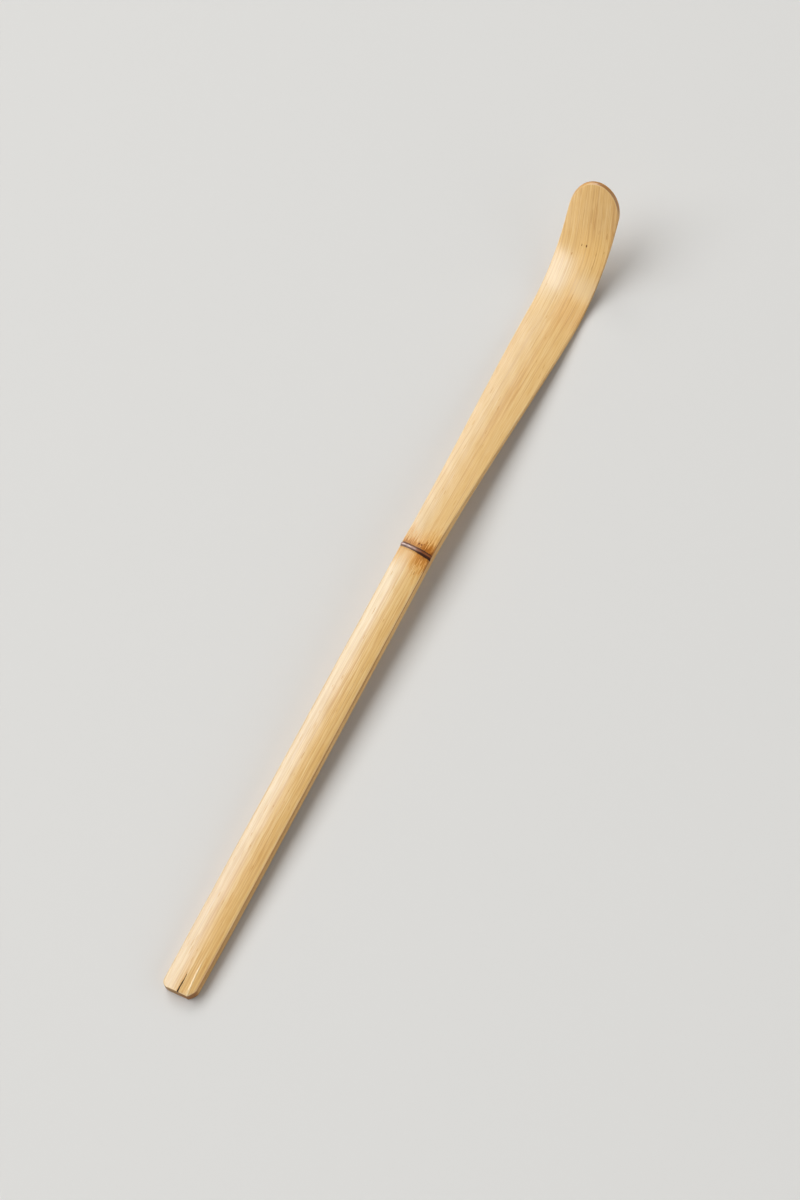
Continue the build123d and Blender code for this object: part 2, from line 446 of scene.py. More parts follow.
# %% [markdown]
# ## Bending the strip with Geometry Nodes
# The carver softens the strip over steam and bends it. A Geometry Nodes tree does the same to every piece:
# it notes where each point lay in the flat strip, finds that place on the crown line, and sets the point
# beside and above the line as far as it was in the flat strip. The note is kept as the attribute "grain", so
# the fibres in the materials run unbroken through the bend and from piece to piece. Near the tip the fibres
# run out a little to the left of the strip, as they do in most split bamboo. On the way the tree sinks fine
# furrows between the fibres, only inwards, so the scoop never grows. A socket knows the tree that it is in,
# so a helper that is given one adds its node there.

# %% Helpers that add nodes
def put(kind, inputs=None, tree=None, **settings):
    """Adds a node to the tree of its inputs, or to the named one, and gives its outputs."""
    inputs = inputs or {}
    linked = {key: value for key, value in inputs.items() if isinstance(value, bpy.types.NodeSocket)}
    tree = tree or next(iter(linked.values())).id_data
    node = tree.nodes.new(kind)
    for option, value in settings.items():
        setattr(node, option, value)
    for key, value in inputs.items():
        if key in linked:
            tree.links.new(value, node.inputs[key])
        else:
            node.inputs[key].default_value = value
    return node.outputs


def math_node(operation, first, second=0.0, third=0.0):
    return put("ShaderNodeMath", {0: first, 1: second, 2: third}, operation=operation)[0]


def minus(first, second):
    return math_node("SUBTRACT", first, second)


def times(first, *others):
    """The product of values or masks."""
    for other in others:
        first = math_node("MULTIPLY", first, other)
    return first


def distance(value, place):
    """How far a value is from a place, on either side."""
    return math_node("ABSOLUTE", minus(value, place))


def less(mask, strength=1.0):
    """1 outside a mask, and lower by the strength inside it."""
    return math_node("MULTIPLY_ADD", mask, -strength, 1.0)


def vector_node(operation, first, second):
    return put("ShaderNodeVectorMath", {0: first, 1: second}, operation=operation)[0]


def xyz(vector):
    return put("ShaderNodeSeparateXYZ", {0: vector})


def join_xyz(x, y, z):
    return put("ShaderNodeCombineXYZ", {0: x, 1: y, 2: z})[0]


def new_tree(name, kind, inputs, outputs):
    """A node group with its sockets, and the values that it is given."""
    tree = bpy.data.node_groups.new(name, kind + "NodeTree")
    out_kind = "Geometry" if kind == "Geometry" else "Float"
    sockets = [("INPUT", *socket) for socket in inputs] + [("OUTPUT", label, out_kind) for label in outputs]
    for in_out, label, socket_kind, *default in sockets:
        socket = tree.interface.new_socket(name=label, in_out=in_out, socket_type="NodeSocket" + socket_kind)
        if default:
            socket.default_value = default[0]
    return tree, put("NodeGroupInput", tree=tree)


def noted_value(geometry, name, value, kind):
    wanted = {"Geometry": geometry, "Name": name, "Value": value}
    return put("GeometryNodeStoreNamedAttribute", wanted, data_type=kind, domain="POINT")[0]


def named_value(tree, name, kind):
    return put("GeometryNodeInputNamedAttribute", {"Name": name}, tree=tree, data_type=kind)[0]


def attribute(tree, name, out="Fac"):
    return put("ShaderNodeAttribute", tree=tree, attribute_name=name)[out]


def end_tree(geometry, finish):
    """Ends a Geometry Nodes tree: instances become real, and the material is set."""
    real = put("GeometryNodeRealizeInstances", {"Geometry": geometry})[0]
    finished = put("GeometryNodeSetMaterial", {"Geometry": real, "Material": finish})[0]
    put("NodeGroupOutput", {"Geometry": finished})
    print("tree", finished.id_data.name, "of", len(finished.id_data.nodes), "nodes")


# %% The bending tree
bend_tree, given = new_tree("Steam bend", "Geometry", [
    ("Geometry", "Geometry"), ("Crown Line", "Object"), ("Furrow Depth", "Float", 0.0),
    ("Fibre Length", "Float", 14.0), ("Fibre Width", "Float", 0.3), ("Run Out Start", "Float", 0.0),
    ("Run Out", "Float", 0.0), ("Run Out Ease", "Float", 0.005), ("Finish", "Material"),
], ["Geometry"])
flat_place = put("GeometryNodeInputPosition", tree=bend_tree)[0]
along, across, height = xyz(flat_place)
past = math_node("MAXIMUM", minus(along, given["Run Out Start"]), 0.0)
eased = math_node("DIVIDE", past, math_node("ADD", past, given["Run Out Ease"]))
aside = minus(across, times(past, eased, given["Run Out"]))
grain = vector_node("MULTIPLY", join_xyz(along, aside, height), (1 / MM, 1 / MM, 1 / MM))
noted = noted_value(given["Geometry"], "grain", grain, "FLOAT_VECTOR")
fibre_size = join_xyz(given["Fibre Length"], given["Fibre Width"], given["Fibre Width"])
stretched = vector_node("DIVIDE", grain, fibre_size)
fibres = put("ShaderNodeTexNoise", {"Vector": stretched, "Scale": 1.0, "Detail": 1.5})[0]
skin = named_value(bend_tree, "skin", "FLOAT")
furrow = times(fibres, skin, given["Furrow Depth"])
line = put("GeometryNodeObjectInfo", {"Object": given["Crown Line"]})["Geometry"]
sample = {"Curves": line, "Length": along}
on_line = put("GeometryNodeSampleCurve", sample, mode="LENGTH", use_all_curves=True)
sideways = vector_node("MULTIPLY", flat_place, (0.0, 1.0, 0.0))
upright = vector_node("CROSS_PRODUCT", on_line["Tangent"], (0.0, 1.0, 0.0))
lift = put("ShaderNodeVectorMath", {0: upright, "Scale": minus(height, furrow)}, operation="SCALE")[0]
bent_place = vector_node("ADD", vector_node("ADD", on_line["Position"], sideways), lift)
bent = put("GeometryNodeSetPosition", {"Geometry": noted, "Position": bent_place})[0]
end_tree(bent, given["Finish"])

# %% Functions that run a tree and bend a flat piece
run_out_start = bend_end - 7.0
run_out_ease = 6.0
run_out = 0.17
smooth_angle = math.radians(38)


def run_tree(thing, tree, name, values):
    """Runs a Geometry Nodes tree on an object, keeps the result as a plain mesh, and drops the object."""
    modifier = thing.modifiers.new(tree.name, "NODES")
    modifier.node_group = tree
    for item in tree.interface.items_tree:
        if item.in_out == "INPUT" and item.name in values:
            modifier[item.identifier] = values[item.name]
    ready = thing.evaluated_get(bpy.context.evaluated_depsgraph_get())
    mesh = bpy.data.meshes.new_from_object(ready)
    mesh.name = name
    bpy.data.objects.remove(thing)
    return add_object(name, mesh)


def bend(flat, name, finish, furrow_depth=0.0, fibre_length=14.0, fibre_width=0.3):
    """Bends a flat object along the crown line."""
    piece = run_tree(flat, bend_tree, name, {
        "Crown Line": crown_line, "Furrow Depth": furrow_depth * MM, "Finish": finish,
        "Fibre Length": fibre_length, "Fibre Width": fibre_width,
        "Run Out Start": run_out_start * MM, "Run Out": run_out, "Run Out Ease": run_out_ease * MM,
    })
    piece.data.set_sharp_from_angle(angle=smooth_angle)
    print(name, len(piece.data.polygons), "faces")
    return piece


# %% [markdown]
# ## Shader groups
# Three effects come back in several finishes, so each is a node group. The first gives streaks along the
# fibres from the grain attribute, long in one direction and thin in the other two. The second gives the
# stain round the node, which creeps along the fibres, further on the right of the strip than on the left, with
# the scorched fibres, the dark crevices and the plain margin beside the ring. The third tells the arris and
# the cut side apart from the upper face by the distance from the edge.

# %% Fibre streaks
def fade(value, low, high, to_low=0.0, to_high=1.0, smooth=True):
    """Goes from 0 to 1, or between two other values, while a value goes from low to high."""
    kind = "SMOOTHSTEP" if smooth else "LINEAR"
    wanted = {"Value": value, "From Min": low, "From Max": high, "To Min": to_low, "To Max": to_high}
    return put("ShaderNodeMapRange", wanted, interpolation_type=kind)[0]


streak_tree, given = new_tree("Fibre streaks", "Shader", [
    ("Grain", "Vector"), ("Length", "Float", 20.0), ("Width", "Float", 0.3), ("Seed", "Float", 0.0),
    ("Detail", "Float", 2.5),
], ["Streak"])
stretch = join_xyz(given["Length"], given["Width"], given["Width"])
drawn = vector_node("DIVIDE", given["Grain"], stretch)
drawn = vector_node("ADD", drawn, join_xyz(given["Seed"], given["Seed"], given["Seed"]))
wanted = {"Vector": drawn, "Scale": 1.0, "Detail": given["Detail"], "Roughness": 0.6}
put("NodeGroupOutput", {"Streak": put("ShaderNodeTexNoise", wanted)[0]})
print("group", streak_tree.name)


def streaks(grain, length, width, seed, detail=2.5):
    """Places the streak group in a material with its own values."""
    wanted = {"Grain": grain, "Length": length, "Width": width, "Seed": seed, "Detail": detail}
    return put("ShaderNodeGroup", wanted, node_tree=streak_tree)[0]


def hairlines(grain, length, spacing, seed, thickness):
    """Single fibres: thin lines where smooth streaks pass their middle value."""
    return fade(distance(streaks(grain, length, spacing, seed, 0.4), 0.5), thickness, 0.0)


# %% Helpers for colours
def srgb(red, green, blue):
    """A linear colour from the usual 0 to 255 values."""
    def linear(value):
        value /= 255
        return value / 12.92 if value <= 0.04045 else ((value + 0.055) / 1.055) ** 2.4
    return (linear(red), linear(green), linear(blue), 1.0)


def mix(factor, first, second, blend="MIX"):
    wanted = {0: factor, 6: first, 7: second}
    return put("ShaderNodeMix", wanted, data_type="RGBA", blend_type=blend, clamp_factor=True)[2]


def paint(colour, *coats):
    """Lays coats over a colour, each as strong as its mask. A coat of three values tints what is below."""
    for mask, coat in coats:
        tint = isinstance(coat, tuple) and len(coat) == 3
        colour = mix(mask, colour, (*coat, 1.0) if tint else coat, "MULTIPLY" if tint else "MIX")
    return colour


def ramp(value, stops):
    colours = put("ShaderNodeValToRGB", {0: value})[0]
    bar = colours.node.color_ramp
    while len(bar.elements) < len(stops):
        bar.elements.new(0.5)
    for element, (place, colour) in zip(bar.elements, stops):
        element.position, element.color = place, colour
    return colours


def profile(value, stops):
    """A curve through grey stops, for a value that changes along or across the strip."""
    return ramp(value, [(place, (level, level, level, 1.0)) for place, level in stops])


print("a mid straw colour is", [round(v, 3) for v in srgb(218, 178, 114)[:3]])

# %% Node stain
over_scale = 8.0
under_scale = 8.4
stain_tree, given = new_tree(
    "Node stain", "Shader",
    [("Grain", "Vector"), ("Node Place", "Float", node_place), ("Scar Length", "Float", scar_length)],
    ["Above", "Below", "Burn", "Crevice", "Margin"],
)
along, across, _ = xyz(given["Grain"])
bow = times(across, across)
bow = math_node("MULTIPLY_ADD", bow, -node_bow / (handle_width / 2) ** 2, node_bow + node_drop)
bow = math_node("MULTIPLY_ADD", across, node_skew, bow)
from_node = minus(minus(along, given["Node Place"]), bow)
over = minus(from_node, given["Scar Length"])
under = times(from_node, -1.0)
to_right = fade(across, handle_width / 2, -handle_width / 2, smooth=False)
ragged = fade(streaks(given["Grain"], 2.6, 0.15, 3.0), 0.34, 0.66, 0.25, 1.75)
over_reach = times(profile(to_right, [
    (0.0, 0.5), (0.1, 0.44), (0.22, 0.38), (0.4, 0.33), (0.58, 0.34), (0.75, 0.5), (0.9, 0.46), (1.0, 0.4),
]), over_scale, ragged)
above = fade(math_node("DIVIDE", over, over_reach), 1.0, 0.1)
above = times(above, fade(over, -0.5, -0.4), fade(across, -1.5, -0.2, 1.0, 0.8))
under_reach = times(profile(to_right, [
    (0.0, 0.46), (0.12, 0.38), (0.36, 0.3), (0.5, 0.34), (0.62, 0.46), (0.85, 0.54), (1.0, 0.46),
]), under_scale, ragged)
below = fade(math_node("DIVIDE", under, under_reach), 1.0, 0.25)
below = times(below, fade(under, -0.5, -0.4), profile(to_right, [
    (0.0, 0.5), (0.08, 0.3), (0.4, 0.2), (0.52, 0.5), (0.64, 1.0), (1.0, 1.0),
]))
scorch = fade(streaks(given["Grain"], 1.3, 0.24, 7.0), 0.48, 0.64)
lower_line = fade(across, 0.3, -1.5, 0.0, 0.14)
from_bead = minus(from_node, scar_margin)
below_bead = minus(math_node("ABSOLUTE", from_bead), lower_line)
near_scar = math_node("MINIMUM", math_node("ABSOLUTE", over), below_bead)
stained = math_node("MAXIMUM", above, below)
put("NodeGroupOutput", {
    "Above": above, "Below": below,
    "Burn": times(scorch, fade(near_scar, 1.2, 0.1), stained),
    "Crevice": times(fade(near_scar, 0.16, 0.05), fade(across, -1.0, 0.5, 1.0, 0.72)),
    "Margin": fade(from_bead, 0.02, -0.05),
})
print("group", stain_tree.name)

# %% Edge masks
line_thins = (94.0, 108.0)
line_fades = (94.0, 106.0)
edge_tree, given = new_tree(
    "Strip edge", "Shader", [("Grain", "Vector"), ("Reach", "Float", 0.22)], ["Side", "Arris", "Line", "Rim"]
)
along, across, _ = xyz(given["Grain"])
edge = attribute(edge_tree, "edge")
side = fade(edge, 0.03, 0.004)
at_tip = fade(along, tip_round_start + 0.5, tip_round_start + 3.0)
reach = math_node("MULTIPLY_ADD", at_tip, 0.34, given["Reach"])
right_edge = times(fade(across, 0.5, -0.5), fade(along, 0.4, 1.2), less(at_tip))
line_reach = fade(along, *line_thins, 0.12, 0.07)
line = fade(math_node("DIVIDE", edge, line_reach), 1.0, 0.5)
put("NodeGroupOutput", {
    "Side": side,
    "Arris": times(fade(math_node("DIVIDE", edge, reach), 1.0, 0.4), less(side), less(right_edge)),
    "Line": times(line, right_edge, fade(along, *line_fades, 1.0, 0.35)),
    "Rim": times(at_tip, fade(edge, 0.34, 0.22)),
})
print("group", edge_tree.name)

# %% [markdown]
# ## The rind's finish
# Bamboo rind is straw yellow under a waxed coat. Over its slow changes lie short tan strands, a few long brown
# threads and thin pale glints. Painted light lies in the colour too: a painted highlight makes the left side
# of the handle and of the bend pale, painted shade darkens the right side of the handle, the start of the
# bend and the far end of the tip, a painted reflection lightens the right half of the bend, and painted
# light brightens the tip. Round the node the straw is tanned before the orange-brown stain begins. The left
# arris is paler, partly from wear and partly as a painted highlight, and the tip's rim is painted lit on the
# left and shaded on the right. Along the right arris the knife has cut through the rind and shows its dense,
# dark layer as a thin line, which takes no wax; the line is partly painted shade. The raised fibres beside
# the split carry a painted highlight, and the split painted shade. First come the masks, then the coats of
# colour in their order, and the finest fibres are left to a weak Bump.

# %% The rind's own colour
def masks(group, grain):
    """Places the group of the node's stain or of the strip's edge in a material."""
    return put("ShaderNodeGroup", {"Grain": grain}, node_tree=group)


def straw(grain):
    """The rind's colour, with the node's stain and painted highlights, reflection and shade, where it holds
    little wax, and its fine fibres.
    """
    along, across, _ = xyz(grain)
    along_strip = fade(along, 0.0, strip_length, smooth=False)
    broad = streaks(grain, 60.0, 1.0, 1.0)
    strand = streaks(grain, 18.0, 0.2, 5.0)
    fine = streaks(grain, 3.2, 0.13, 19.0)
    tone = math_node("MULTIPLY_ADD", strand, 0.34, times(broad, 0.2))
    tone = math_node("MULTIPLY_ADD", fine, 0.46, tone)
    colour = ramp(tone, [
        (0.36, srgb(230, 178, 104)), (0.46, srgb(241, 197, 124)),
        (0.54, srgb(246, 205, 136)), (0.66, srgb(252, 219, 160)),
    ])
    lively = profile(along_strip, [
        (0.0, 0.55), (0.48, 0.5), (0.56, 0.25), (0.82, 0.25), (0.87, 0.4), (1.0, 0.4),
    ])
    even = fade(lively, 0.5, 0.25, 0.0, 0.3)
    tan = times(hairlines(grain, 60.0, 0.5, 33.0, 0.07), lively)
    dark = times(hairlines(grain, 130.0, 1.3, 9.0, 0.045), fade(strand, 0.4, 0.6, 0.05, 0.55))
    glint = times(fade(streaks(grain, 24.0, 0.15, 15.0), 0.57, 0.67), lively)
    # Painted highlight: the left side of the handle and of the bend is painted paler and cooler where the
    # lamps' highlight falls.
    painted_highlight_left = times(fade(across, -1.2, 2.2), profile(along_strip, [
        (0.47, 1.0), (0.6, 0.4), (0.82, 0.35), (0.855, 0.5), (0.885, 0.85), (0.905, 0.7), (0.925, 0.25),
        (0.95, 0.0),
    ]))
    # Painted shade: darker towards the right just past the start of the bend.
    painted_shade_at_bend_start = times(fade(distance(along, bend_start + 2.0), 4.5, 1.0), fade(across, 1.5, -0.5))
    # Painted reflection: a pale patch on the right half of the bend, where a lamp's reflection falls.
    painted_reflection_in_bend = times(fade(distance(along, bend_start + 8.0), 4.0, 0.5, 0.0, 0.45), fade(across, 0.0, -2.0))
    # Painted light: the tip's colour is brightened, as if more light fell on its tilted face.
    tip = fade(along, bend_end - 9.0, bend_end - 4.0)
    # Painted shade: the far end of the tip is darker, most on its right side.
    far = times(fade(along, bend_end - 4.0, bend_end + 4.0), fade(across, 3.5, -2.0, 0.3, 1.0))
    shaded = times(fade(across, 0.4, -2.2), fade(along, 96.0, 88.0))
    near = distance(along, (node_place + scar_end) / 2)
    halo = fade(math_node("MULTIPLY_ADD", strand, -4.0, near), -1.5, 4.0, 1.0, 0.0)
    stain = masks(stain_tree, grain)
    browned = math_node("MAXIMUM", stain["Above"], times(stain["Below"], 0.8))
    soaked = math_node("POWER", browned, 0.6)
    stain_colour = ramp(browned, [
        (0.1, srgb(234, 168, 76)), (0.6, srgb(208, 136, 46)), (1.0, srgb(176, 104, 28)),
    ])
    dulled = times(halo, fade(across, 0.6, 2.0, 0.4, 0.75))
    colour = paint(
        colour,
        (even, srgb(244, 201, 131)), (tan, srgb(214, 150, 70)),
        (dark, srgb(204, 132, 48)), (glint, srgb(252, 226, 174)),
        (times(painted_highlight_left, 0.35), srgb(246, 206, 140)), (painted_highlight_left, (0.83, 0.92, 1.14)),
        (painted_shade_at_bend_start, (0.93, 0.9, 0.92)), (painted_reflection_in_bend, srgb(250, 220, 172)),
        (tip, (1.08, 1.06, 1.0)), (far, (0.89, 0.88, 0.88)),
        (shaded, (0.94, 0.91, 0.82)), (halo, (0.95, 0.85, 0.68)),
        (soaked, stain_colour), (times(stain["Burn"], 0.6), srgb(104, 54, 20)),
        (stain["Crevice"], srgb(62, 32, 16)),
    )
    return colour, math_node("MAXIMUM", soaked, dulled), fine


print("the rind's colour can be laid")

# %% The rind material
wax_ior = 2.0


def new_material(name, specular):
    material = bpy.data.materials.new(name)
    material.use_nodes = True
    surface = material.node_tree.nodes["Principled BSDF"]
    surface.inputs["Specular IOR Level"].default_value = specular
    return material, surface, attribute(material.node_tree, "grain", "Vector")


def dress(surface, colour, pattern, smooth, rough, bump=()):
    """Links the colour, a roughness that follows a pattern, and a bump of a height, strength and depth."""
    wanted = {"Base Color": colour, "Roughness": fade(pattern, 0.3, 0.7, smooth, rough)}
    if bump:
        height, strength, depth = bump
        relief = {"Height": height, "Strength": strength, "Distance": depth * MM}
        wanted["Normal"] = put("ShaderNodeBump", relief)[0]
    for label, socket in wanted.items():
        surface.id_data.links.new(socket, surface.inputs[label])


def wax(surface, weight, roughness):
    """A waxed coat, as thick as the weight says."""
    surface.inputs["Coat IOR"].default_value = wax_ior
    surface.inputs["Coat Roughness"].default_value = roughness
    surface.id_data.links.new(weight, surface.inputs["Coat Weight"])


rind, surface, grain = new_material("bamboo_rind", 0.15)
along, across, _ = xyz(grain)
colour, unwaxed, fine = straw(grain)
edges = masks(edge_tree, grain)
mark = attribute(rind.node_tree, "mark")
# The tip's rim: its cut colour with painted light, paler on the lit left and darker on the shaded right.
rim_painted_light_colour = mix(fade(across, 0.8, -2.2), srgb(218, 160, 84), srgb(164, 104, 44))
side_colour = mix(fade(along, *line_fades), srgb(206, 150, 78), srgb(228, 176, 104))
side_colour = mix(fade(along, 2.4, 1.2), side_colour, srgb(156, 98, 44))
colour = paint(
    colour,
    # The arris: paler, partly from wear and partly as a painted highlight.
    (times(edges["Arris"], 0.6), srgb(246, 216, 160)),
    (times(edges["Rim"], 0.9), rim_painted_light_colour),
    # The right arris line: the rind's dark layer, and partly painted shade on the side away from the lamps.
    (times(edges["Line"], 0.75), srgb(170, 106, 44)),
    (times(edges["Side"], 0.85), side_colour),
    # Painted highlight on the raised fibres beside the split, and painted shade in the split.
    (fade(mark, 0.1, 0.8, 0.0, 0.6), srgb(248, 226, 180)),
    (fade(mark, -0.1, -0.7), srgb(80, 44, 18)),
)
dress(surface, colour, fine, 0.38, 0.55, (streaks(grain, 14.0, 0.12, 13.0), 0.5, 0.012))
rubbed = distance(along, bend_start + 2.5)
scraped = times(fade(along, bend_start + 7.0, bend_start + 11.0), fade(across, 3.4, 0.8))
bare = math_node("MAXIMUM", edges["Side"], edges["Line"])
wax(surface, times(
    less(unwaxed, 0.9), fade(fine, 0.35, 0.65, 0.75, 1.0),
    fade(rubbed, 0.0, 6.0, 0.35, 1.0), less(scraped, 0.35), less(bare, 0.9),
), 0.3)
print("material", rind.name, "of", len(rind.node_tree.nodes), "nodes")

# %% [markdown]
# ## The wall's finish
# Under the rind the wall is softer and paler. Brown bundles of fibre run through it, crowded just under the
# rind and sparse further in, and the knife leaves it duller than the rind. Depth below the crown line is the
# third part of the grain, so the bundles can be made denser near the rind. Where the knife cut across the
# fibres, at both ends of the strip, the wall is darker and the bundles show as dots.

# %% The wall material
wall, surface, grain = new_material("bamboo_wall", 0.2)
along, across, height = xyz(grain)
bundle = streaks(grain, 30.0, 0.2, 25.0)
limit = fade(times(height, -1.0), 0.5, 2.4, 0.5, 0.64)
stain = masks(stain_tree, grain)
tinge = math_node("MAXIMUM", stain["Above"], stain["Below"])
side = masks(edge_tree, grain)["Side"]
at_tip = fade(along, tip_round_start + 1.0, tip_round_start + 4.0)
cut_ends = times(math_node("MAXIMUM", fade(along, 2.2, 1.2), at_tip), side)
end_colour = mix(fade(across, 0.5, -1.8), srgb(164, 124, 80), srgb(148, 92, 42))
end_colour = mix(fade(along, bend_start, bend_end), end_colour, srgb(200, 142, 74))
dots = put("ShaderNodeTexVoronoi", {"Vector": grain, "Scale": 3.4})["Distance"]
dot_strength = fade(along, bend_start, bend_end, 0.6, 0.25)
colour = ramp(streaks(grain, 20.0, 0.4, 21.0), [
    (0.3, srgb(222, 174, 108)), (0.5, srgb(238, 192, 126)), (0.7, srgb(246, 210, 150)),
])
colour = paint(
    colour,
    (fade(minus(bundle, limit), 0.0, 0.1, 0.0, 0.7), srgb(160, 111, 62)),
    (times(tinge, 0.3), srgb(176, 120, 62)),
    (times(fade(along, 60.0, 5.0, 0.1, 0.35), side), srgb(150, 100, 52)),
    (times(cut_ends, 0.8), end_colour),
    (times(fade(dots, 0.34, 0.2), cut_ends, dot_strength), srgb(96, 62, 34)),
)
dress(surface, colour, bundle, 0.5, 0.66, (streaks(grain, 7.0, 0.12, 29.0), 0.5, 0.012))
print("material", wall.name, "of", len(wall.node_tree.nodes), "nodes")

# %% [markdown]
# ## The node's own finishes
# The scar is a healed rim, dark purple-brown and as smooth as a seed, so it shows the lamp as one pale stripe.
# Below it a narrow margin keeps the colour of the rind. The septum stub is the rough, matt rest of the
# cross-wall. Flecks are pores and dead fibres in the rind, some nearly black and some only tan, by a tone that
# each of them carries.

# %% Scar, septum and fleck materials
scar, surface, grain = new_material("sheath_scar", 0.2)
across = xyz(grain)["Y"]
skin, _, _ = straw(grain)
stain = masks(stain_tree, grain)
mottle = streaks(grain, 0.5, 0.9, 31.0)
cut_side = times(masks(edge_tree, grain)["Side"], fade(across, -2.0, -2.8))
# Across the ring: partly the scar's own colour and partly painted light, a paler mauve on the lit left and
# darker orange-brown on the shaded right.
colour = paint(
    ramp(mottle, [(0.3, srgb(128, 82, 62)), (0.7, srgb(174, 128, 106))]),
    (fade(across, 0.6, -1.4, 0.0, 0.9), srgb(134, 72, 28)),
    (stain["Margin"], skin),
    (times(stain["Crevice"], 0.9), srgb(56, 28, 16)),
    (cut_side, srgb(196, 142, 78)),
)
dress(surface, colour, mottle, 0.34, 0.46, (mottle, 0.2, 0.02))
sheen = times(less(stain["Margin"], 0.9), fade(across, -1.4, 0.8, 0.05, 1.0))
wax(surface, sheen, 0.2)

septum, surface, grain = new_material("septum_rest", 0.3)
mottle = streaks(grain, 0.8, 0.6, 37.0)
colour = ramp(mottle, [
    (0.3, srgb(176, 138, 92)), (0.55, srgb(204, 170, 122)), (0.75, srgb(222, 192, 146)),
])
dress(surface, colour, mottle, 0.66, 0.82, (mottle, 0.6, 0.05))

fleck, surface, grain = new_material("fleck_brown", 0.15)
colour, _, fine = straw(grain)
tone = attribute(fleck.node_tree, "tone")
brown = ramp(tone, [(0.2, srgb(216, 150, 64)), (0.6, srgb(188, 116, 38)), (1.0, srgb(116, 58, 14))])
middle = fade(attribute(fleck.node_tree, "middle"), 0.1, 0.75)
strength = times(middle, fade(tone, 0.0, 0.8, 0.3, 1.0))
dress(surface, mix(strength, colour, brown), fine, 0.38, 0.55)
wax(surface, math_node("MULTIPLY_ADD", strength, -0.8, 0.85), 0.3)
print("materials", scar.name, septum.name, fleck.name)

# %% [markdown]
# ## Paring and bending the pieces
# The strip divides where the plant's own borders are: rind over wall, and at the node the scar and the stained
# swelling. Each piece is pared flat and bent with the same tree, so the borders fit without a gap.

# %% The rind of the handle, of the stem with the bend and tip, and of the stained swelling
def pare_rind(name, rows, columns, extra=()):
    u, y = grid_over(rows, columns, extra=extra)
    edge = edge_distance(u, y)
    flat = flat_piece(name, u, y, rind_height(u, y, edge), seat_height(u, y), edge, on_top=True)
    return bend(flat, name, rind, furrow_depth=0.012)


rows = np.concatenate([
    edge_steps, rows_between(0.6, 9.0, 0.28), rows_between(9.8, 88.0, 0.9)[:-1],
    rows_between(88.0, node_place - 0.5, 0.35), node_place - edge_steps[::-1],
])
split_columns = [
    split_line(rows) + side * (split_half(rows) * share + extra)
    for side in (-1, 1) for share, extra in ((0.3, 0.002), (0.75, 0.006), (1.0, 0.012), (1.0, 0.05))
]
handle_skin = pare_rind("handle_skin", rows, 64, split_columns)

head_rows = np.concatenate([
    rows_between(bend_start, bend_end, 0.4)[:-1], rows_between(bend_end, tip_round_start, 0.5)[:-1],
    tip_places(56),
])
rows = np.concatenate([rows_between(stem_start, bend_start, 0.8)[:-1], head_rows])
head_skin = pare_rind("head_skin", rows, 84)

rows = np.concatenate([scar_end + edge_steps, rows_between(scar_end + 0.5, stem_start, 0.3)])
node_skin = pare_rind("node_skin", rows, 64)

# %% The scar
rows = node_place + scar_length * (1 - np.cos(np.linspace(0, math.pi, 22))) / 2
u, y = grid_over(rows, 64, overhang=scar_overhang)
edge = np.clip(np.minimum(left_half(u) - y, right_half(u) + y) + scar_overhang, 0.0, None)
flat = flat_piece("scar_ring", u, y, scar_height(u, y, edge), seat_height(u, y), edge, on_top=True)
scar_ring = bend(flat, "scar_ring", scar, furrow_depth=0.015, fibre_length=0.7, fibre_width=0.5)

# %% The wall under the rind
wall_runs = {
    "handle_wall": np.concatenate([
        edge_steps, rows_between(0.55, 2.6, 0.2)[:-1], rows_between(2.6, node_place, 0.9)
    ]),
    "node_wall": rows_between(node_place, stem_start, 0.5),
    "stem_wall": rows_between(stem_start, bend_start, 0.9),
    "head_wall": head_rows,
}
walls = {}
for name, rows in wall_runs.items():
    u, y = grid_over(rows, 44)
    edge = edge_distance(u, y)
    flat = flat_piece(name, u, y, seat_height(u, y), under_height(u, y, edge), edge)
    walls[name] = bend(flat, name, wall, furrow_depth=0.03, fibre_length=12.0, fibre_width=0.4)

# %% The septum's rest under the node
septum_length = 2.0
septum_inset = 0.7
septum_width = handle_width - 2 * septum_inset
septum_height = 0.25
septum_lap = 0.03
septum_place = (node_place + stem_start) / 2
rows = septum_place + septum_length / 2 * np.linspace(-1, 1, 25)
share = np.linspace(-1, 1, 49)
u, y = np.meshgrid(rows, share * septum_width / 2, indexing="ij")
lens = unit(1 - ((u - septum_place) / (septum_length / 2)) ** 2) ** 0.5
lens = lens * unit(1 - (y / (septum_width / 2)) ** 4) ** 0.5
broken = 0.72 + 0.16 * np.sin(3.7 * y + 2.1 * u) + 0.12 * np.sin(9.1 * y - 5.3 * u)
under = -strip_depth(u) + septum_lap - (septum_height + septum_lap) * lens * broken
flat = flat_piece("septum_rib", u, y, -strip_depth(u) + 0.1, under, np.full(u.shape, 1.0))
septum_rib = bend(flat, "septum_rib", septum, furrow_depth=0.05, fibre_length=0.5, fibre_width=0.4)

# %% [markdown]
# ## Flecks in the rind
# Pores and dead fibres show as small dark lens shapes that lie along the grain. The clearest ones are listed
# one by one on the bend, the tip and at the scar, and a seeded sprinkle of faint ones covers the rest. A
# Geometry Nodes tree puts one flat lens on every point, as long and wide as the point says. Then the same
# steam bend takes them round with the rind.

